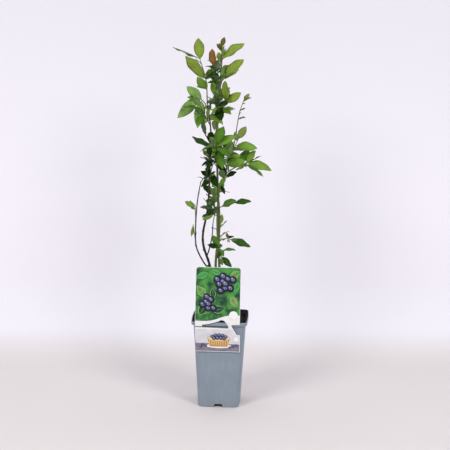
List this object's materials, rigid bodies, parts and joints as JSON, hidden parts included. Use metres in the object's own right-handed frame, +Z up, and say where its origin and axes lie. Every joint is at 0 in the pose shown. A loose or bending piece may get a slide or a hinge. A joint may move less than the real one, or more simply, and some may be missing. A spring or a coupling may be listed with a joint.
{
  "type": "potted blueberry bush",
  "caption": "Young upright blueberry bush in a square plastic nursery pot, with slender stems, shoots of oval leaves and a picture label hooked over the rim",
  "frame": {"origin": "middle of the pot's underside, on the surface it stands on", "axes": "+Z up along the plant, -Y towards the side with the label, +X to the right of it"},
  "size_m": [0.214, 0.1766, 0.7967],
  "materials": {
    "pot_plastic": "blue-grey moulded polypropylene, satin",
    "peat": "moist dark peat and bark compost",
    "label_card": "printed thin plastic card, semi-gloss",
    "bark": "smooth young bark, brown below and olive green above",
    "leaf": "soft green blueberry leaves on green and red-brown twigs"
  },
  "bodies": {
    "root": {"pot": "pot_plastic", "peat": "peat", "label": "label_card", "stem_main": "bark", "stem_left": "bark", "stem_right": "bark", "stem_back": "bark", "branch_thin_left": "bark", "branch_low_left": "bark", "branch_right": "bark", "leaves_top_left": "leaf", "leaves_upper_left": "leaf", "leaves_upper_left_front": "leaf", "leaves_top": "leaf", "leaves_top_right": "leaf", "leaves_upper_right": "leaf", "leaves_top_centre": "leaf", "leaves_upper_centre": "leaf", "bud_shoot_right": "leaf", "leaves_young_right": "leaf", "leaves_middle": "leaf", "leaves_middle_left": "leaf", "leaves_middle_right": "leaf", "leaves_middle_right_upper": "leaf", "leaves_middle_low": "leaf", "leaves_low_centre": "leaf", "leaves_low_centre_right": "leaf", "leaves_low_left": "leaf", "leaves_low_right": "leaf", "leaves_low_front": "leaf", "leaves_thin_left": "leaf", "leaves_thin_left_low": "leaf", "leaves_thin_left_top": "leaf", "leaves_foot_right": "leaf", "leaves_foot": "leaf", "leaves_foot_low": "leaf", "leaves_back_top": "leaf", "leaves_back_upper": "leaf", "leaves_back_middle": "leaf", "leaves_back_low": "leaf", "leaves_back_foot": "leaf"}
  },
  "joints": []
}
